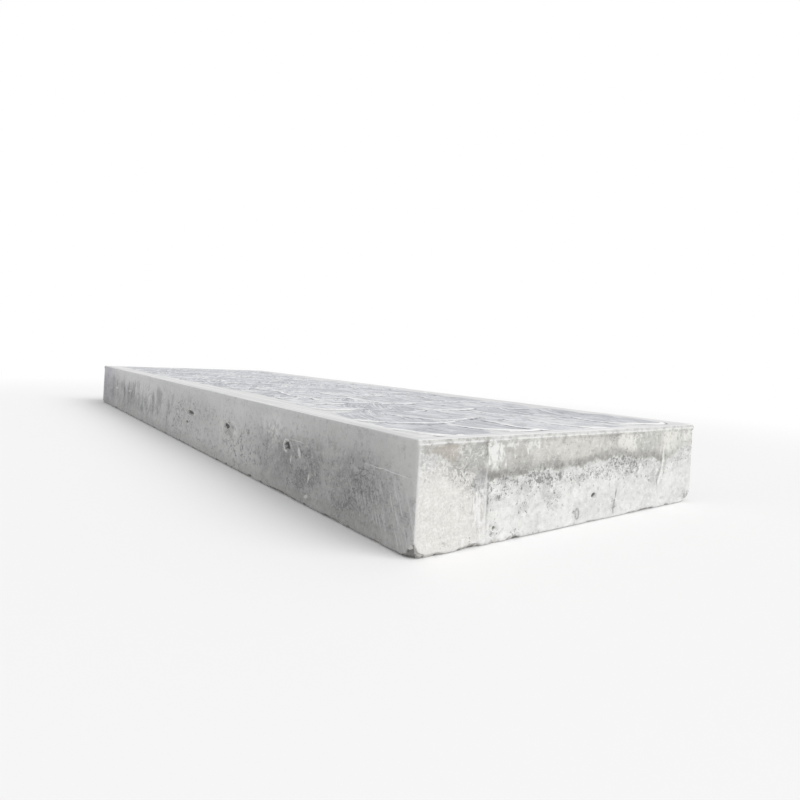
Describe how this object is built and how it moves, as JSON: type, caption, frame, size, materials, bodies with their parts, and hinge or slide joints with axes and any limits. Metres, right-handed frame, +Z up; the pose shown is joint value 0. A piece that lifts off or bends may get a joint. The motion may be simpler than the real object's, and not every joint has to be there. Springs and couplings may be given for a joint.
{
  "type": "concrete walkway slab",
  "caption": "Long flat precast concrete walkway slab with a trowelled top field, smooth margin, thin lip at the top edge and worn, broken bottom corners.",
  "frame": {"origin": "middle of the underside", "axes": "+X along the length towards the end with the form joints, +Y across the width, +Z up out of the trowelled top"},
  "size_m": [1.83, 0.61, 0.133],
  "materials": {
    "concrete": "cast and trowelled grey concrete, weathered, with pale paste and dark damp stains"
  },
  "bodies": {
    "root": {"walkway_slab": "concrete"}
  },
  "joints": []
}
